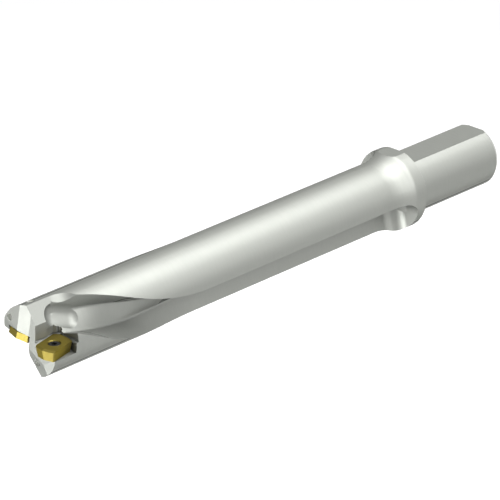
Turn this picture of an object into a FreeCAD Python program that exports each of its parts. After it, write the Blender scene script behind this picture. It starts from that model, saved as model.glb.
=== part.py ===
"""Indexable drill: a turned and milled steel body, two clamped cutting inserts and their screws.

Millimetres. The origin is on the axis at the rear face of the collar. X runs toward the
shank, so the cutting end points along -X. Z is square to the shank flat. The peripheral
insert is on the -Y side and cuts with its face up, the central one has its face down.
"""
import FreeCAD, Part
import math
import os

V = FreeCAD.Vector
X_AXIS = V(1, 0, 0)

# Shank
SHANK_R = 16.0
SHANK_L = 60.0
SHANK_FLAT_Z = 14.0
SHANK_CHAMFER_L = 1.9
SHANK_CHAMFER_R = 1.2

# Collar and the flare that leads to it
COLLAR_R = 20.8
COLLAR_FLAT_Z = 20.0
COLLAR_EDGE = 0.4
SHOULDER_ROUND = 6.0
FLARE_ROUND = 29.0
FLARE_START = -20.8

# Fluted body
BODY_R = 17.75
FRONT_X = -251.0
FRONT_STOCK = 2.0

# Flute section, seen along the axis, angles from the edge of the first wall
RIDGE1_R = 9.25
RIDGE1_ANGLE = -2.75
RIDGE2_R = 7.7
RIDGE2_ANGLE = 76.5
WALL3_ANGLE = 73.8
FLUTE_ROUND = 1.4

# How the flute turns: a steady twist at the front that eases out to straight
TWIST_LEAD = 238.6
TWIST_END_X = -148.3
TWIST_EASE = 54.75
FLUTE_REST_ANGLE = 181.7
FLUTE_START = 14.0
FLUTE_REAR_X = -5.0
FLUTE_END_ROUND = 8.0
STATION_STEP = 6.0

# Chip pocket of the peripheral side: a slanting plane, then an upright wall
POCKET_SLANT = 57.1
P_WALL_Y = -4.0
P_CORNER_Z = 9.1
P_FLOOR_Z = 0.7
C_WALL_Y = 0.8
C_CORNER_Z = -7.8
C_FLOOR_Z = -0.43
POCKET_RUN = 28.5
POCKET_FLOOR_RUN = 14.5
POCKET_END_ROUND = 14.0

# Ball ended scoop behind each insert, between two ball centres
SCOOP_R = 7.0
SCOOP_A = (13.3, -6.31, 11.63)
SCOOP_B = (22.0, -8.57, 8.5)

# Peripheral insert: its outline on the rake face, as distance behind the front and Y
P_OUTER_CORNER = (-1.6, -18.2)
P_APEX = (-3.2, -11.8)
P_INNER_CORNER = (-2.4, -6.4)
P_INNER_REAR = (10.7, -3.6)
P_REAR_BEVEL_A = (12.2, -3.3)
P_REAR_BEVEL_B = (14.1, -5.6)
P_REAR_MID = (14.1, -10.3)
P_REAR_OUTER = (12.9, -15.2)
P_OUTER_REAR = (11.0, -15.2)
P_RAKE_Z = 1.0
P_SEAT_Z = -4.5

# Central insert: the same, its rake face looks down and leans about its apex
C_OUTER_CORNER = (-0.54, 13.62)
C_APEX = (-1.9, 7.06)
C_INNER_CORNER = (-0.37, 0.42)
C_INNER_REAR = (11.1, 0.6)
C_REAR_BEVEL_A = (12.3, 0.8)
C_REAR_BEVEL_B = (14.0, 2.6)
C_REAR_MID = (14.1, 7.0)
C_REAR_OUTER = (13.1, 11.0)
C_OUTER_REAR = (11.4, 11.2)
C_RAKE_Z = 0.15
C_SEAT_Z = 3.55
C_LEAN = 8.0

# Both inserts
RELIEF_ANGLE = 9.0
INSERT_CORNER = 0.7
EDGE_LAND = 0.3
BREAKER_WIDTH = 1.5
BREAKER_DEPTH = 0.28
BEVEL_W = 1.3
BEVEL_DEPTH = 0.7
POCKET_GAP = 0.45
POCKET_RELIEF_R = 0.9
POCKET_RIM = 0.9

# Clamping screws
SCREW_R = 2.0
SCREW_HEAD_R = 2.85
SCREW_HEAD_DROP = 0.35
SCREW_CONE_ANGLE = 30.0
SCREW_LIP = 0.5
SCREW_HOLE_GAP = 0.2
SCREW_BITE = 7.0
SCREW_TIP = 0.6
SOCKET_R = 1.45
SOCKET_LOBE_R = 0.42
SOCKET_DEPTH = 1.5
TAP_R = 1.65
P_SCREW = (5.6, -10.7)
C_SCREW = (5.8, 7.3)

# Planes of the front face: a point as distance behind the front, Y and Z, then its slopes in Y and Z
WEB_PLANE = ((0.0, 0.0, 3.0), 0.0, 0.037)
UPPER_INNER_PLANE = ((-0.23, 3.38, 17.43), -0.15, 0.016)
UPPER_OUTER_PLANE = ((-0.6, 17.6, 2.33), 0.0465, 0.0454)
LOWER_INNER_PLANE = ((-0.28, -2.0, -4.4), 0.151, -0.241)
LOWER_OUTER_PLANE = ((-0.2, -17.24, -4.24), -0.12, -0.16)

# Coolant: a bore up the core, then one channel through each land
BORE_R = 4.0
BORE_END = 46.0
INLET_R = 6.5
INLET_L = 14.0
INLET_CHAMFER = 0.8
DRILL_POINT = 59.0
UPPER_COOLANT = (12.6, 8.8)
UPPER_COOLANT_R = 1.75
UPPER_COOLANT_RUN = 19.0
LOWER_COOLANT = (-4.0, -9.6)
LOWER_COOLANT_R = 1.95
LOWER_COOLANT_BEND = (19.0, -9.5, -6.0)
SCOOP_COOLANT_R = 1.4
SCOOP_COOLANT = (19.2, 2.5, 5.3)

# Sizes that follow from the ones above
PI = math.pi
FAR = 30.0
TWIST_START_X = TWIST_END_X - TWIST_EASE
TWIST_RATE = 360 / TWIST_LEAD
FLUTE_FRONT_X = FRONT_X + FLUTE_START
POCKET_END_X = FRONT_X + POCKET_RUN
BORE_END_X = FRONT_X + BORE_END


def polar(radius, degrees, x=0.0):
    a = math.radians(degrees)
    return V(x, radius * math.cos(a), radius * math.sin(a))


def turned(shape, degrees):
    copy = shape.copy()
    copy.rotate(V(0, 0, 0), X_AXIS, degrees)
    return copy


def polygon(points):
    return Part.makePolygon(list(points) + [points[0]])


def prism(points, direction):
    return Part.Face(polygon(points)).extrude(direction)


def bar(start, end, radius):
    path = end.sub(start)
    return Part.makeCylinder(radius, path.Length, start, path)


def line(a, b):
    return Part.LineSegment(a, b).toShape()


def bend(a, corner, b, radius):
    """An arc that rounds the corner between a and b: its start, its middle and its end."""
    to_a = a.sub(corner).normalize()
    to_b = b.sub(corner).normalize()
    half = to_a.getAngle(to_b) / 2
    reach = radius / math.tan(half)
    inward = to_a.add(to_b).normalize()
    centre = corner.add(inward * (radius / math.sin(half)))
    return corner.add(to_a * reach), centre.sub(inward * radius), corner.add(to_b * reach)


# Turned body

def turned_blank():
    front = FRONT_X - FRONT_STOCK
    tail = SHANK_L - SHANK_CHAMFER_L
    flare_c = V(FLARE_START, 0, BODY_R + FLARE_ROUND)
    round_z = COLLAR_R - SHOULDER_ROUND
    span = FLARE_ROUND + SHOULDER_ROUND
    drop = flare_c.z - round_z
    round_c = V(FLARE_START + math.sqrt(span ** 2 - drop ** 2), 0, round_z)
    meet = flare_c.add(round_c.sub(flare_c) * (FLARE_ROUND / span))
    lean = math.atan2(meet.x - flare_c.x, flare_c.z - meet.z)
    flare_mid = flare_c.add(V(math.sin(lean / 2), 0, -math.cos(lean / 2)) * FLARE_ROUND)
    round_mid = round_c.add(V(-math.sin(lean / 2), 0, math.cos(lean / 2)) * SHOULDER_ROUND)
    p = [V(front, 0, 0), V(front, 0, BODY_R), V(FLARE_START, 0, BODY_R)]
    q = [V(round_c.x, 0, COLLAR_R), V(-COLLAR_EDGE, 0, COLLAR_R), V(0, 0, COLLAR_R - COLLAR_EDGE)]
    s = [V(0, 0, SHANK_R), V(tail, 0, SHANK_R), V(SHANK_L, 0, SHANK_R - SHANK_CHAMFER_R), V(SHANK_L, 0, 0)]
    edges = [line(p[0], p[1]), line(p[1], p[2])]
    edges.append(Part.Arc(p[2], flare_mid, meet).toShape())
    edges.append(Part.Arc(meet, round_mid, q[0]).toShape())
    chain = q + s + [p[0]]
    for a, b in zip(chain, chain[1:]):
        edges.append(line(a, b))
    return Part.Face(Part.Wire(edges)).revolve(V(0, 0, 0), X_AXIS, 360)


def flats():
    wide = 4 * SHANK_R
    shank = Part.makeBox(SHANK_L + 2, wide, wide, V(0, -wide / 2, SHANK_FLAT_Z))
    collar = Part.makeBox(-FLARE_START, wide, wide, V(FLARE_START, -wide / 2, COLLAR_FLAT_Z))
    return [shank, collar]


# Flutes

def twist(x):
    """Angle of the first wall's edge at x, for the flute of the peripheral insert."""
    turn = TWIST_RATE * TWIST_EASE / 2
    if x >= TWIST_END_X:
        return FLUTE_REST_ANGLE
    if x >= TWIST_START_X:
        return FLUTE_REST_ANGLE - turn * ((TWIST_END_X - x) / TWIST_EASE) ** 2
    return FLUTE_REST_ANGLE - turn - TWIST_RATE * (TWIST_START_X - x)


def flute_corners(x):
    a = twist(x)
    edge = polar(BODY_R, a, x)
    ridge1 = polar(RIDGE1_R, a + RIDGE1_ANGLE, x)
    ridge2 = polar(RIDGE2_R, a + RIDGE2_ANGLE, x)
    far_edge = polar(BODY_R, a + WALL3_ANGLE, x)
    outer1 = edge.add(edge.sub(ridge1).normalize() * 8)
    outer2 = far_edge.add(far_edge.sub(ridge2).normalize() * 8)
    beyond = polar(BODY_R * 1.85, a + WALL3_ANGLE / 2, x)
    return outer1, ridge1, ridge2, outer2, beyond


def flute_section(x):
    outer1, ridge1, ridge2, outer2, beyond = flute_corners(x)
    a = bend(outer1, ridge1, ridge2, FLUTE_ROUND)
    b = bend(ridge1, ridge2, outer2, FLUTE_ROUND)
    edges = [line(outer1, a[0]), Part.Arc(*a).toShape(), line(a[2], b[0])]
    edges += [Part.Arc(*b).toShape(), line(b[2], outer2), line(outer2, beyond), line(beyond, outer1)]
    return Part.Wire(edges)


def stations():
    steady = int(round((TWIST_START_X - FLUTE_FRONT_X) / STATION_STEP))
    easing = int(round(TWIST_EASE / STATION_STEP))
    xs = [FLUTE_FRONT_X + (TWIST_START_X - FLUTE_FRONT_X) * i / steady for i in range(steady)]
    return xs + [TWIST_START_X + TWIST_EASE * i / easing for i in range(easing + 1)]


def run_out(point, inward, end_x, radius):
    """Everything on the flute side of a wall that curves out to its end at end_x."""
    n = V(inward.x, inward.y, inward.z).normalize()
    along = X_AXIS.cross(n)
    base = point.sub(X_AXIS * point.x)
    start = FRONT_X - FAR
    arc_x = end_x - radius

    def at(x, s):
        return base.add(X_AXIS * x).add(n * s).sub(along * 2 * FAR)

    mid = radius * (1 - math.cos(PI / 4))
    edges = [line(at(start, 0), at(arc_x, 0))]
    edges.append(Part.Arc(at(arc_x, 0), at(arc_x + radius * math.sin(PI / 4), mid), at(end_x, radius)).toShape())
    edges.append(line(at(end_x, radius), at(end_x, 2 * FAR)))
    edges.append(line(at(end_x, 2 * FAR), at(start, 2 * FAR)))
    edges.append(line(at(start, 2 * FAR), at(start, 0)))
    return Part.Face(Part.Wire(edges)).extrude(along * 4 * FAR)


def straight_flute():
    outer1, ridge1, ridge2, outer2, beyond = flute_corners(TWIST_END_X)
    section = Part.Face(flute_section(TWIST_END_X))
    cutter = section.extrude(X_AXIS * (FLUTE_REAR_X - TWIST_END_X))
    for a, b in ((outer1, ridge1), (ridge1, ridge2), (ridge2, outer2)):
        normal = b.sub(a).cross(X_AXIS)
        if normal.dot(beyond.sub(a)) < 0:
            normal = normal * -1
        cutter = cutter.common(run_out(a, normal, FLUTE_REAR_X, FLUTE_END_ROUND))
    return cutter


def flute_cutters():
    twisted = Part.makeLoft([flute_section(x) for x in stations()], True, False)
    pair = [twisted, straight_flute()]
    return pair + [turned(c, 180) for c in pair]


# Chip pockets at the cutting end

def chip_pocket(wall_y, corner_z, floor_z, lean, side):
    """One pocket: side is 1 for the peripheral insert and -1 for the central one."""
    slant = V(0, math.cos(math.radians(POCKET_SLANT)), math.sin(math.radians(POCKET_SLANT))) * side
    corner = V(FRONT_X - FAR, wall_y, corner_z)
    away = V(0, -side * FAR, 0)
    top = corner.add(slant * FAR)
    low = V(FRONT_X - FAR, wall_y, floor_z)
    low_far = low.add(away).add(V(0, 0, FAR * math.tan(math.radians(lean))))
    upper = prism([corner, top, top.add(away), corner.add(away)], X_AXIS * (POCKET_RUN + FAR))
    normal = V(0, -slant.z, slant.y)
    upper = upper.common(run_out(corner, normal, POCKET_END_X, POCKET_END_ROUND))
    lower = prism([low, corner, corner.add(away), low_far], X_AXIS * (POCKET_FLOOR_RUN + FAR))
    return [upper, lower]


def behind_front(spot):
    return V(FRONT_X + spot[0], spot[1], spot[2])


def scoop():
    a = behind_front(SCOOP_A)
    b = behind_front(SCOOP_B)
    middle = bar(a, b, SCOOP_R)
    return middle.fuse([Part.makeSphere(SCOOP_R, a), Part.makeSphere(SCOOP_R, b)]).removeSplitter()


# Inserts

def from_front(points):
    return [(FRONT_X + x, y) for x, y in points]


def peripheral_outline():
    return from_front([P_OUTER_CORNER, P_APEX, P_INNER_CORNER, P_INNER_REAR, P_REAR_BEVEL_A,
                       P_REAR_BEVEL_B, P_REAR_MID, P_REAR_OUTER, P_OUTER_REAR])


def central_outline():
    return from_front([C_OUTER_CORNER, C_APEX, C_INNER_CORNER, C_INNER_REAR, C_REAR_BEVEL_A,
                       C_REAR_BEVEL_B, C_REAR_MID, C_REAR_OUTER, C_OUTER_REAR])


def leaned(shape):
    """Lean a shape made for the central insert about the line of its apex."""
    copy = shape.copy()
    copy.rotate(V(0, C_APEX[1], C_RAKE_Z), X_AXIS, C_LEAN)
    return copy


def inset(points, distance):
    """The outline moved inward by a distance, corner by corner."""
    n = len(points)
    area = sum(points[i][0] * points[(i + 1) % n][1] - points[(i + 1) % n][0] * points[i][1] for i in range(n))
    turn = 1 if area > 0 else -1
    moved = []
    for i in range(n):
        ax, ay = points[i - 1]
        bx, by = points[i]
        cx, cy = points[(i + 1) % n]
        u = math.hypot(bx - ax, by - ay)
        w = math.hypot(cx - bx, cy - by)
        ux, uy = (bx - ax) / u, (by - ay) / u
        wx, wy = (cx - bx) / w, (cy - by) / w
        nx, ny = -(uy + wy) * turn, (ux + wx) * turn
        scale = distance * 2 / (nx * nx + ny * ny)
        moved.append((bx + nx * scale, by + ny * scale))
    return moved


def flat_wire(points, z):
    return polygon([V(x, y, z) for x, y in points])


def tapered(points, rake_z, seat_z, fall):
    shrink = abs(rake_z - seat_z) * math.tan(math.radians(fall))
    return Part.makeLoft([flat_wire(points, rake_z), flat_wire(inset(points, shrink), seat_z)], True, True)


def chip_breaker(points, rake_z, down):
    """A shallow groove inside the cutting edges, with an island left in the middle."""
    floor_z = rake_z - down * BREAKER_DEPTH
    above = rake_z + down * BREAKER_DEPTH
    outer = inset(points, EDGE_LAND)
    reach = BREAKER_WIDTH - EDGE_LAND
    slope_out = inset(points, EDGE_LAND + reach * 0.6)
    wider = inset(points, EDGE_LAND - reach * 0.6)
    groove = Part.makeLoft([flat_wire(wider, above), flat_wire(slope_out, floor_z)], True, True)
    island_low = inset(points, EDGE_LAND + reach * 0.75)
    island_top = inset(points, EDGE_LAND + reach + 0.2)
    island = Part.makeLoft([flat_wire(island_low, floor_z), flat_wire(island_top, above)], True, True)
    return groove.cut(island)


def bevel_cutters(points, rake_z):
    """Room above the bevels along the two front edges of the peripheral insert."""
    cutters = []
    for a, b in ((points[0], points[1]), (points[1], points[2])):
        along = V(b[0] - a[0], b[1] - a[1], 0).normalize()
        inward = V(-along.y, along.x, 0)
        if inward.x < 0:
            inward = inward * -1
        start = V(a[0], a[1], rake_z - BEVEL_DEPTH).sub(along * 2)
        span = along * (math.hypot(b[0] - a[0], b[1] - a[1]) + 4)
        rise = inward * BEVEL_W + V(0, 0, BEVEL_DEPTH)
        corners = [start.sub(rise), start.add(rise * 2), start.add(rise * 2).add(span), start.sub(rise).add(span)]
        cutters.append(prism(corners, V(-BEVEL_DEPTH * inward.x, -BEVEL_DEPTH * inward.y, BEVEL_W) * 2))
    return cutters


def rounded_insert(points, rake_z, seat_z):
    solid = tapered(points, rake_z, seat_z, RELIEF_ANGLE)
    upright = []
    for edge in solid.Edges:
        a, b = edge.Vertexes[0].Point, edge.Vertexes[-1].Point
        if abs(a.z - b.z) > abs(rake_z - seat_z) / 2:
            upright.append(edge)
    return solid.makeFillet(INSERT_CORNER, upright)


# Screws

def screw_lengths(rake_z, seat_z):
    """Heights along the screw from the seat of the insert, up toward the head."""
    top = abs(rake_z - seat_z) - SCREW_HEAD_DROP
    cone = (SCREW_HEAD_R - SCREW_R) / math.tan(math.radians(SCREW_CONE_ANGLE))
    return top, top - SCREW_LIP, top - SCREW_LIP - cone


def spin(profile, place):
    """Turn a list of radius and height pairs about the screw axis, then put it in place."""
    shape = Part.Face(polygon([V(r, 0, h) for r, h in profile])).revolve(V(0, 0, 0), V(0, 0, 1), 360)
    shape.Placement = place
    return shape


def socket(top):
    reach = SOCKET_R - SOCKET_LOBE_R
    shape = Part.makeCylinder(reach, SOCKET_DEPTH + 1, V(0, 0, top - SOCKET_DEPTH))
    lobes = []
    for i in range(6):
        a = i * PI / 3
        spot = V(reach * math.cos(a), reach * math.sin(a), top - SOCKET_DEPTH)
        lobes.append(Part.makeCylinder(SOCKET_LOBE_R, SOCKET_DEPTH + 1, spot))
    return shape.fuse(lobes).removeSplitter()


def screw(rake_z, seat_z, place):
    top, lip, neck = screw_lengths(rake_z, seat_z)
    profile = [(0, top), (SCREW_HEAD_R - 0.25, top), (SCREW_HEAD_R, top - 0.25), (SCREW_HEAD_R, lip),
               (SCREW_R, neck), (SCREW_R, SCREW_TIP - SCREW_BITE), (SCREW_R - SCREW_TIP, -SCREW_BITE),
               (0, -SCREW_BITE)]
    recess = socket(top)
    recess.Placement = place
    return spin(profile, place).cut(recess)


def insert_hole(rake_z, seat_z, place):
    top, lip, neck = screw_lengths(rake_z, seat_z)
    bore = SCREW_R + SCREW_HOLE_GAP
    touch = lip - (SCREW_HEAD_R - bore) / math.tan(math.radians(SCREW_CONE_ANGLE))
    mouth = SCREW_HEAD_R + 0.35
    high = top + SCREW_HEAD_DROP
    profile = [(0, -2), (bore, -2), (bore, touch), (SCREW_HEAD_R, lip), (SCREW_HEAD_R, lip + 0.05),
               (mouth, high - 0.1), (mouth + 1.2, high + 1.1), (0, high + 1.1)]
    return spin(profile, place)


def tapped_hole(place):
    profile = [(0, 1), (SCREW_R, 1), (SCREW_R, -SCREW_BITE - 0.5), (TAP_R, -SCREW_BITE - 0.9),
               (TAP_R, -FAR), (0, -FAR)]
    return spin(profile, place)


def peripheral_place():
    return FreeCAD.Placement(V(FRONT_X + P_SCREW[0], P_SCREW[1], P_SEAT_Z), FreeCAD.Rotation(X_AXIS, 0))


def central_place():
    return FreeCAD.Placement(V(FRONT_X + C_SCREW[0], C_SCREW[1], C_SEAT_Z), FreeCAD.Rotation(X_AXIS, 180))


# Pockets the inserts sit in

def seat_pocket(points, seat_z, toward, open_side):
    """Room for an insert: toward is 1 when its face looks up, open_side is 0 for a walled pocket."""
    grown = inset(points, -POCKET_GAP)
    front_x = FRONT_X - FAR
    outline = [(front_x, grown[2][1]), grown[2]] + grown[3:8]
    if open_side:
        outline += [(grown[7][0], open_side * FAR), (front_x, open_side * FAR)]
    else:
        outline += [grown[8], grown[0], (front_x, grown[0][1])]
    base = polygon([V(x, y, seat_z) for x, y in outline])
    room = Part.Face(base).extrude(V(0, 0, toward * FAR / 3))
    x, y = grown[5]
    relief = Part.makeCylinder(POCKET_RELIEF_R, FAR / 3, V(x, y, seat_z), V(0, 0, toward))
    return room.fuse(relief)


def pocket_rim():
    """A bevel round the top of the peripheral pocket."""
    inner = inset(peripheral_outline(), -POCKET_GAP)
    outer = inset(peripheral_outline(), -POCKET_GAP - 2 * POCKET_RIM)
    low = flat_wire(inner, P_FLOOR_Z - POCKET_RIM)
    return Part.makeLoft([low, flat_wire(outer, P_FLOOR_Z + POCKET_RIM)], True, True)


# Front face of the body

def in_front_of(point, slope_y, slope_z):
    """Everything ahead of a plane through the point that falls back by these slopes."""
    normal = V(1, -slope_y, -slope_z)
    block = Part.makeBox(FAR, 4 * FAR, 4 * FAR, V(-FAR, -2 * FAR, -2 * FAR))
    block.Placement = FreeCAD.Placement(point, FreeCAD.Rotation(X_AXIS, normal))
    return block


def front_cutters():
    web, upper_in, upper_out, lower_in, lower_out = [
        in_front_of(behind_front(spot), slope_y, slope_z)
        for spot, slope_y, slope_z in (WEB_PLANE, UPPER_INNER_PLANE, UPPER_OUTER_PLANE,
                                       LOWER_INNER_PLANE, LOWER_OUTER_PLANE)]
    return [web.common(upper_in), upper_out, lower_in, lower_out]


# Coolant

def coolant_cutters():
    tip = BORE_R / math.tan(math.radians(DRILL_POINT))
    main = Part.makeCylinder(BORE_R, SHANK_L - BORE_END_X, V(BORE_END_X, 0, 0), X_AXIS)
    point = Part.makeCone(0, BORE_R, tip, V(BORE_END_X - tip, 0, 0), X_AXIS)
    inlet = Part.makeCylinder(INLET_R, INLET_L, V(SHANK_L - INLET_L, 0, 0), X_AXIS)
    fall = (INLET_R - BORE_R) / math.tan(math.radians(DRILL_POINT))
    inlet_tip = Part.makeCone(BORE_R, INLET_R, fall, V(SHANK_L - INLET_L - fall, 0, 0), X_AXIS)
    mouth = Part.makeCone(INLET_R, INLET_R + INLET_CHAMFER, INLET_CHAMFER,
                          V(SHANK_L - INLET_CHAMFER, 0, 0), X_AXIS)
    source = V(BORE_END_X, 0, 0)
    front = FRONT_X - 3
    upper_bend = V(FRONT_X + UPPER_COOLANT_RUN, UPPER_COOLANT[0], UPPER_COOLANT[1])
    upper = [bar(V(front, UPPER_COOLANT[0], UPPER_COOLANT[1]), upper_bend, UPPER_COOLANT_R)]
    upper.append(Part.makeSphere(UPPER_COOLANT_R, upper_bend))
    upper.append(bar(upper_bend, source, UPPER_COOLANT_R))
    lower_bend = behind_front(LOWER_COOLANT_BEND)
    exit_point = V(FRONT_X, LOWER_COOLANT[0], LOWER_COOLANT[1])
    past = exit_point.add(exit_point.sub(lower_bend).normalize() * 3)
    lower = [bar(past, lower_bend, LOWER_COOLANT_R)]
    lower.append(Part.makeSphere(LOWER_COOLANT_R, lower_bend))
    lower.append(bar(lower_bend, source, LOWER_COOLANT_R))
    branch = behind_front(SCOOP_COOLANT)
    side = [bar(branch, source, SCOOP_COOLANT_R), Part.makeSphere(SCOOP_COOLANT_R, branch)]
    return [main, point, inlet, inlet_tip, mouth] + upper + lower + side


# The five pieces

def drill_body():
    body = turned_blank()
    body = body.cut(flats())
    for cutter in flute_cutters():
        body = body.cut(cutter)
    body = body.cut(chip_pocket(P_WALL_Y, P_CORNER_Z, P_FLOOR_Z, 0, 1))
    body = body.cut(chip_pocket(C_WALL_Y, C_CORNER_Z, C_FLOOR_Z, C_LEAN, -1))
    body = body.cut([scoop(), turned(scoop(), 180)])
    body = body.cut(seat_pocket(peripheral_outline(), P_SEAT_Z, 1, -1))
    body = body.cut(pocket_rim())
    body = body.cut(leaned(seat_pocket(central_outline(), C_SEAT_Z, -1, 0)))
    for cutter in front_cutters():
        body = body.cut(cutter)
    body = body.cut([tapped_hole(peripheral_place()), leaned(tapped_hole(central_place()))])
    body = body.cut(coolant_cutters())
    return body


def peripheral_insert():
    solid = rounded_insert(peripheral_outline(), P_RAKE_Z, P_SEAT_Z)
    solid = solid.cut(bevel_cutters(peripheral_outline(), P_RAKE_Z))
    return solid.cut(insert_hole(P_RAKE_Z, P_SEAT_Z, peripheral_place()))


def central_insert():
    solid = rounded_insert(central_outline(), C_RAKE_Z, C_SEAT_Z)
    solid = solid.cut(chip_breaker(central_outline(), C_RAKE_Z, -1))
    return leaned(solid.cut(insert_hole(C_RAKE_Z, C_SEAT_Z, central_place())))


def one_solid(shape):
    solids = sorted(shape.Solids, key=lambda s: -s.Volume)
    return solids[0]


def main():
    os.makedirs("parts", exist_ok=True)
    pieces = {
        "drill_body": drill_body(),
        "peripheral_insert": peripheral_insert(),
        "central_insert": central_insert(),
        "peripheral_screw": screw(P_RAKE_Z, P_SEAT_Z, peripheral_place()),
        "central_screw": leaned(screw(C_RAKE_Z, C_SEAT_Z, central_place())),
    }
    for name, shape in pieces.items():
        solid = one_solid(shape)
        print(name, len(shape.Solids), solid.isValid(), round(solid.Volume, 1), len(solid.Faces))
        solid.exportStep("parts/" + name + ".step")


main()
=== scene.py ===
"""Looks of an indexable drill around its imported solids: satin steel, coated inserts, dark screws."""

import bpy
from bpy.props import FloatProperty, FloatVectorProperty, PointerProperty
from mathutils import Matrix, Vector

bl_info = {
    "name": "Indexable drill looks",
    "version": (1, 0, 0),
    "blender": (4, 5, 0),
    "location": "View3D > Sidebar > Drill",
    "description": "Dresses a packed indexable drill and sets its studio",
    "category": "Object",
}

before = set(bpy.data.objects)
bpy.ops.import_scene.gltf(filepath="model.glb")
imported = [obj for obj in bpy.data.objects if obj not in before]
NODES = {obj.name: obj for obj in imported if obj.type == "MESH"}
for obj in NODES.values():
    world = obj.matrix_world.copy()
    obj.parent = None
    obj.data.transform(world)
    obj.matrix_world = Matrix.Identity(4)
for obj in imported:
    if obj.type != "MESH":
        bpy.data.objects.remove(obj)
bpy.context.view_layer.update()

# Camera, worked out from the photograph, in metres in the part's own frame
CAMERA_AT = Vector((-1.42540, -1.26950, 0.81600))
CAMERA_FORWARD = Vector((0.65838, 0.63297, -0.40729))
CAMERA_LENS = 299.76
SENSOR_WIDTH = 36.0
CLIP = (0.01, 50.0)

# Floor, in metres: half its width, and how far from the drill it keeps the shadow
FLOOR_REACH = 6.0
SHADOW_REACH = 0.8
FLOOR_GREY = (0.25, 0.25, 0.25, 1)
FLOOR_WHITE = (0.9, 0.9, 0.9, 1)
FLOOR_GLOW = 0.08
WHITE = (1, 1, 1, 1)

# Lamps: where each stands seen from the drill, its distance and its size in metres, and the watts
# that one unit of its strength gives
LIT_SPOT = Vector((-0.10, 0, 0))
LAMPS = {
    "key": ((0.25, -0.13, 0.76), 3.0, 2.8, 100),
    "front": ((-0.92, 0.12, -0.36), 1.1, 0.5, 10),
    "side": ((0.08, -0.82, 0.52), 2.4, 2.4, 10),
}

# Metal's tint at a glancing angle, where 1 is its full shine
STEEL_EDGE = 0.1
COAT_EDGE = 0.3
# Full tint at a glancing angle on the end chamfer, part of its painted highlight
CHAMFER_HIGHLIGHT_EDGE = 1.0

# Part of a noise that carries most of its values
NOISE_LOW = 0.3
NOISE_HIGH = 0.7

# Grain of a finish, as the way it is drawn out: along the body, round the shank, or not at all
ALONG = (1.0, 0.15, 0.15)
ROUND = (0.15, 1.0, 1.0)
EVEN = (1, 1, 1)

# Bored holes of the body, whose walls get a pale colour painted as light inside them, as a point on the
# axis, the way it runs and its radius, in metres
HOLES = (
    (Vector((-0.2510, 0.0126, 0.0088)), Vector((1, 0, 0)), 0.00175),
    (Vector((-0.2510, -0.0040, -0.0096)), Vector((0.0190, -0.0055, 0.0036)), 0.00195),
    (Vector((-0.2452, 0.00682, 0.00355)), Vector((0, -0.139, 0.990)), 0.00165),
    (Vector((-0.2318, 0.0025, 0.0053)), Vector((0.0268, -0.0025, -0.0053)), 0.00140),
)
HOLE_SLACK = 0.00008
HOLES_END = -0.231

# End chamfer of the shank, where a highlight is painted, in metres: its start along the axis and a
# radius inside it, and how far its faces turn to the end
CHAMFER_START = 0.0581
CHAMFER_INSIDE = 0.0146
CHAMFER_TURN = (0.1, 0.9)


# Node tree helpers

def new_material(name):
    material = bpy.data.materials.new(name)
    material.use_nodes = True
    tree = material.node_tree
    tree.nodes.clear()
    out = tree.nodes.new("ShaderNodeOutputMaterial")
    shader = tree.nodes.new("ShaderNodeBsdfPrincipled")
    tree.links.new(shader.outputs["BSDF"], out.inputs["Surface"])
    return material, tree, shader


def node(tree, kind, **settings):
    made = tree.nodes.new(kind)
    for key, value in settings.items():
        if key in made.inputs:
            made.inputs[key].default_value = value
        else:
            setattr(made, key, value)
    return made


def stretched_noise(tree, scale, stretch, detail):
    """Noise on Object coordinates, drawn out along the axes where stretch is small."""
    place = node(tree, "ShaderNodeTexCoord")
    mapping = node(tree, "ShaderNodeMapping")
    mapping.inputs["Scale"].default_value = stretch
    noise = node(tree, "ShaderNodeTexNoise")
    noise.inputs["Scale"].default_value = scale
    noise.inputs["Detail"].default_value = detail
    tree.links.new(place.outputs["Object"], mapping.inputs["Vector"])
    tree.links.new(mapping.outputs["Vector"], noise.inputs["Vector"])
    return noise


def ramp_to(tree, source, low, high, socket):
    spread = node(tree, "ShaderNodeMapRange")
    spread.inputs["From Min"].default_value = NOISE_LOW
    spread.inputs["From Max"].default_value = NOISE_HIGH
    spread.inputs["To Min"].default_value = low
    spread.inputs["To Max"].default_value = high
    tree.links.new(source, spread.inputs["Value"])
    tree.links.new(spread.outputs["Result"], socket)


def bump_from(tree, source, distance, strength, shader):
    bump = node(tree, "ShaderNodeBump")
    bump.inputs["Strength"].default_value = strength
    bump.inputs["Distance"].default_value = distance
    tree.links.new(source, bump.inputs["Height"])
    tree.links.new(bump.outputs["Normal"], shader.inputs["Normal"])


def tint_from(tree, scale, color, darkest, shader):
    """Base colour that wavers between its full value and its darkest share."""
    tint = stretched_noise(tree, scale, EVEN, 2.0)
    mix = node(tree, "ShaderNodeMix", data_type="RGBA")
    mix.inputs["A"].default_value = (*[c * darkest for c in color], 1)
    mix.inputs["B"].default_value = (*color, 1)
    tree.links.new(tint.outputs["Fac"], mix.inputs["Factor"])
    tree.links.new(mix.outputs["Result"], shader.inputs["Base Color"])


# Finishes

def new_metal(name, metal, edge):
    material, tree, shader = new_material(name)
    shader.inputs["Metallic"].default_value = metal
    shader.inputs["Specular Tint"].default_value = (edge, edge, edge, 1)
    return material, tree, shader


def satin_steel(name, color, metal, rough, stretch, edge=STEEL_EDGE):
    """Steel with a fine grain."""
    material, tree, shader = new_metal(name, metal, edge)
    grain = stretched_noise(tree, 900.0, stretch, 3.0)
    ramp_to(tree, grain.outputs["Fac"], rough - 0.03, rough + 0.03, shader.inputs["Roughness"])
    tint_from(tree, 60.0, color, 0.985, shader)
    bump_from(tree, grain.outputs["Fac"], 0.00002, 0.12, shader)
    return material


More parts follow.
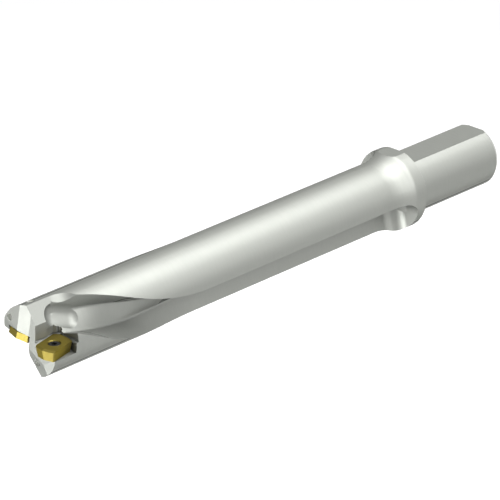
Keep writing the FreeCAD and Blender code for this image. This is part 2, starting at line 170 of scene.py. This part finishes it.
def coated_carbide(name, color, metal, rough):
    """Coating with the finer, deeper grain of ground carbide."""
    material, tree, shader = new_metal(name, metal, COAT_EDGE)
    grain = stretched_noise(tree, 2500.0, EVEN, 3.0)
    ramp_to(tree, grain.outputs["Fac"], rough - 0.04, rough + 0.05, shader.inputs["Roughness"])
    tint_from(tree, 300.0, color, 0.94, shader)
    bump_from(tree, grain.outputs["Fac"], 0.00001, 0.2, shader)
    return material


def dress(obj, *materials):
    obj.data.materials.clear()
    for material in materials:
        obj.data.materials.append(material)


def from_axis(spot, start, way):
    """Distance of a spot from a hole's axis."""
    along = way.normalized()
    out = spot - start
    return (out - along * out.dot(along)).length


def on_a_wall(spot):
    """True for a spot on the wall of one of the bored holes."""
    return spot.x < HOLES_END and any(
        abs(from_axis(spot, start, way) - radius) < HOLE_SLACK for start, way, radius in HOLES)


def paint_light_on_hole_walls(obj, slot):
    """Paint the walls of the bored holes pale, as painted light inside them."""
    for face in obj.data.polygons:
        if on_a_wall(obj.matrix_world @ face.center):
            face.material_index = slot


def end_chamfer(obj, slot):
    """Give the chamfer at the shank's end a lighter, shinier copy of the steel, a painted highlight."""
    least, most = CHAMFER_TURN
    for face in obj.data.polygons:
        spot = obj.matrix_world @ face.center
        outside = spot.yz.length > CHAMFER_INSIDE
        if spot.x > CHAMFER_START and outside and least < face.normal.x < most:
            face.material_index = slot


# Sizes and colours a user would change

class DrillLooks(bpy.types.PropertyGroup):
    steel: FloatVectorProperty(
        name="Steel", description="Colour of the satin steel body",
        default=(0.235, 0.242, 0.225), min=0, max=1, subtype="COLOR")
    steel_metal: FloatProperty(
        name="Steel metallic", description="Share of mirror light in the steel",
        default=0.8, min=0, max=1, subtype="FACTOR")
    steel_rough: FloatProperty(
        name="Steel roughness", description="How dull the steel is",
        default=0.5, min=0, max=1, subtype="FACTOR")
    # Pale colour painted on the walls of the bored holes, as painted light inside them
    bored: FloatVectorProperty(
        name="Bored holes", description="Colour of the walls of the bored holes",
        default=(0.85, 0.86, 0.82), min=0, max=1, subtype="COLOR")
    # Lighter colour of the steel painted on the end chamfer as a painted highlight
    painted_highlight: FloatVectorProperty(
        name="End chamfer", description="Colour of the turned chamfer at the shank's end",
        default=(0.42, 0.43, 0.405), min=0, max=1, subtype="COLOR")
    coating: FloatVectorProperty(
        name="Coating", description="Colour of the inserts' coating",
        default=(0.165, 0.133, 0.033), min=0, max=1, subtype="COLOR")
    coating_metal: FloatProperty(
        name="Coating metallic", description="Share of mirror light in the coating",
        default=1.0, min=0, max=1, subtype="FACTOR")
    coating_rough: FloatProperty(
        name="Coating roughness", description="How dull the coating is",
        default=0.46, min=0, max=1, subtype="FACTOR")
    screw: FloatVectorProperty(
        name="Screws", description="Colour of the clamping screws",
        default=(0.05, 0.05, 0.05), min=0, max=1, subtype="COLOR")


class StudioLooks(bpy.types.PropertyGroup):
    key: FloatProperty(
        name="Key light", description="Strength of the main light", default=1.7, min=0)
    front: FloatProperty(
        name="Front light", description="Strength of the light on the cutting end", default=1.95, min=0)
    side: FloatProperty(
        name="Side light", description="Strength of the light from the side", default=6.5, min=0)
    fill: FloatProperty(
        name="World light", description="Strength of the light all round", default=0.12, min=0)
    floor_drop: FloatProperty(
        name="Floor drop", description="Distance of the floor below the axis",
        default=0.45, min=0, unit="LENGTH", subtype="DISTANCE")


def looks():
    return bpy.context.scene.drill_looks


def studio():
    return bpy.context.scene.drill_studio


# Pieces

class DRILL_OT_body(bpy.types.Operator):
    """Satin steel on the drill body"""
    bl_idname = "drill.body"
    bl_label = "Dress the body"

    def execute(self, context):
        p = looks()
        steel = satin_steel("satin_steel", tuple(p.steel), p.steel_metal, p.steel_rough, ALONG)
        # Pale copy of the steel on the walls of the bored holes, painted light inside them
        bored = satin_steel("hole_painted_light", tuple(p.bored), 0.1, 0.5, EVEN)
        # Lighter, shinier copy of the steel on the end chamfer, a painted highlight
        painted_highlight = satin_steel("chamfer_painted_highlight", tuple(p.painted_highlight), 0.9, 0.35, ROUND, CHAMFER_HIGHLIGHT_EDGE)
        dress(NODES["drill_body"], steel, bored, painted_highlight)
        paint_light_on_hole_walls(NODES["drill_body"], 1)
        end_chamfer(NODES["drill_body"], 2)
        return {"FINISHED"}


class DRILL_OT_inserts(bpy.types.Operator):
    """Yellow coating on both cutting inserts"""
    bl_idname = "drill.inserts"
    bl_label = "Dress the inserts"

    def execute(self, context):
        p = looks()
        coating = coated_carbide("insert_coating", tuple(p.coating), p.coating_metal, p.coating_rough)
        for name in ("peripheral_insert", "central_insert"):
            dress(NODES[name], coating)
        return {"FINISHED"}


class DRILL_OT_screws(bpy.types.Operator):
    """Dark oxide on the clamping screws"""
    bl_idname = "drill.screws"
    bl_label = "Dress the screws"

    def execute(self, context):
        p = looks()
        dark = satin_steel("screw_oxide", tuple(p.screw), 0.8, 0.35, EVEN)
        for name in ("peripheral_screw", "central_screw"):
            dress(NODES[name], dark)
        return {"FINISHED"}


# Stage

def seen_mask(tree):
    """1 for rays from the camera and for what metal and glass show, 0 for light on its way."""
    path = node(tree, "ShaderNodeLightPath")
    either = node(tree, "ShaderNodeMath", operation="MAXIMUM")
    tree.links.new(path.outputs["Is Camera Ray"], either.inputs[0])
    tree.links.new(path.outputs["Is Glossy Ray"], either.inputs[1])
    all_three = node(tree, "ShaderNodeMath", operation="MAXIMUM")
    tree.links.new(either.outputs["Value"], all_three.inputs[0])
    tree.links.new(path.outputs["Is Transmission Ray"], all_three.inputs[1])
    return all_three.outputs["Value"]


def make_world(strength):
    world = bpy.data.worlds.new("studio_world")
    world.use_nodes = True
    tree = world.node_tree
    tree.nodes.clear()
    out = tree.nodes.new("ShaderNodeOutputWorld")
    light = node(tree, "ShaderNodeBackground", Strength=strength)
    seen = node(tree, "ShaderNodeBackground", Strength=1.0)
    light.inputs["Color"].default_value = WHITE
    seen.inputs["Color"].default_value = WHITE
    mix = node(tree, "ShaderNodeMixShader")
    tree.links.new(seen_mask(tree), mix.inputs[0])
    tree.links.new(light.outputs["Background"], mix.inputs[1])
    tree.links.new(seen.outputs["Background"], mix.inputs[2])
    tree.links.new(mix.outputs["Shader"], out.inputs["Surface"])
    bpy.context.scene.world = world


def make_floor(drop):
    """A pale floor that keeps the drill's shadow, white where it is seen."""
    mesh = bpy.data.meshes.new("floor")
    square = ((-1, -1), (1, -1), (1, 1), (-1, 1))
    corners = [(x * FLOOR_REACH, y * FLOOR_REACH, -drop) for x, y in square]
    mesh.from_pydata(corners, [], [(0, 1, 2, 3)])
    floor = bpy.data.objects.new("floor", mesh)
    bpy.context.scene.collection.objects.link(floor)
    material, tree, shader = new_material("pale_floor")
    shader.inputs["Base Color"].default_value = FLOOR_GREY
    shader.inputs["Roughness"].default_value = 1.0
    shader.inputs["Specular IOR Level"].default_value = 0.0
    white = node(tree, "ShaderNodeBsdfDiffuse", Color=FLOOR_WHITE)
    glow = node(tree, "ShaderNodeEmission", Color=WHITE, Strength=FLOOR_GLOW)
    both = node(tree, "ShaderNodeAddShader")
    tree.links.new(white.outputs["BSDF"], both.inputs[0])
    tree.links.new(glow.outputs["Emission"], both.inputs[1])
    place = node(tree, "ShaderNodeTexCoord")
    away = node(tree, "ShaderNodeVectorMath", operation="LENGTH")
    fade = node(tree, "ShaderNodeMapRange", interpolation_type="SMOOTHSTEP")
    fade.inputs["From Min"].default_value = SHADOW_REACH
    fade.inputs["From Max"].default_value = SHADOW_REACH * 2
    even = node(tree, "ShaderNodeEmission", Color=WHITE, Strength=1.0)
    faded = node(tree, "ShaderNodeMixShader")
    tree.links.new(place.outputs["Object"], away.inputs[0])
    tree.links.new(away.outputs["Value"], fade.inputs["Value"])
    tree.links.new(fade.outputs["Result"], faded.inputs[0])
    tree.links.new(both.outputs["Shader"], faded.inputs[1])
    tree.links.new(even.outputs["Emission"], faded.inputs[2])
    mix = node(tree, "ShaderNodeMixShader")
    tree.links.new(seen_mask(tree), mix.inputs[0])
    tree.links.new(shader.outputs["BSDF"], mix.inputs[1])
    tree.links.new(faded.outputs["Shader"], mix.inputs[2])
    out = [n for n in tree.nodes if n.type == "OUTPUT_MATERIAL"][0]
    tree.links.new(mix.outputs["Shader"], out.inputs["Surface"])
    mesh.materials.append(material)


def make_lamp(name, strength):
    direction, distance, size, watts = LAMPS[name]
    data = bpy.data.lights.new(name, "AREA")
    data.shape = "DISK"
    data.size = size
    data.energy = strength * watts
    light = bpy.data.objects.new(name, data)
    toward = Vector(direction).normalized()
    light.location = LIT_SPOT + toward * distance
    light.visible_camera = False
    light.rotation_mode = "QUATERNION"
    light.rotation_quaternion = (-toward).to_track_quat("-Z", "Y")
    bpy.context.scene.collection.objects.link(light)


def make_camera():
    data = bpy.data.cameras.new("photo_camera")
    data.lens = CAMERA_LENS
    data.sensor_width = SENSOR_WIDTH
    data.clip_start, data.clip_end = CLIP
    camera = bpy.data.objects.new("photo_camera", data)
    camera.location = CAMERA_AT
    camera.rotation_mode = "QUATERNION"
    camera.rotation_quaternion = CAMERA_FORWARD.to_track_quat("-Z", "Y")
    bpy.context.scene.collection.objects.link(camera)
    bpy.context.scene.camera = camera


class DRILL_OT_stage(bpy.types.Operator):
    """Floor, lights and camera of the studio"""
    bl_idname = "drill.stage"
    bl_label = "Set the stage"

    def execute(self, context):
        p = studio()
        make_world(p.fill)
        make_floor(p.floor_drop)
        for name in LAMPS:
            make_lamp(name, getattr(p, name))
        make_camera()
        context.scene.view_settings.view_transform = "Standard"
        return {"FINISHED"}


class DRILL_PT_panel(bpy.types.Panel):
    """Pieces of the drill and its studio"""
    bl_idname = "DRILL_PT_panel"
    bl_label = "Indexable drill"
    bl_space_type = "VIEW_3D"
    bl_region_type = "UI"
    bl_category = "Drill"

    def draw(self, context):
        for group in (looks(), studio()):
            for key in group.__annotations__:
                self.layout.prop(group, key)
        for step in STEPS:
            self.layout.operator(step)


CLASSES = (DrillLooks, StudioLooks, DRILL_OT_body, DRILL_OT_inserts, DRILL_OT_screws,
           DRILL_OT_stage, DRILL_PT_panel)
STEPS = ("drill.body", "drill.inserts", "drill.screws", "drill.stage")


def register():
    for cls in CLASSES:
        bpy.utils.register_class(cls)
    bpy.types.Scene.drill_looks = PointerProperty(type=DrillLooks)
    bpy.types.Scene.drill_studio = PointerProperty(type=StudioLooks)


def unregister():
    del bpy.types.Scene.drill_studio
    del bpy.types.Scene.drill_looks
    for cls in reversed(CLASSES):
        bpy.utils.unregister_class(cls)


def main():
    register()
    bpy.ops.drill.body()
    bpy.ops.drill.inserts()
    bpy.ops.drill.screws()
    bpy.ops.drill.stage()


if __name__ == "__main__":
    main()
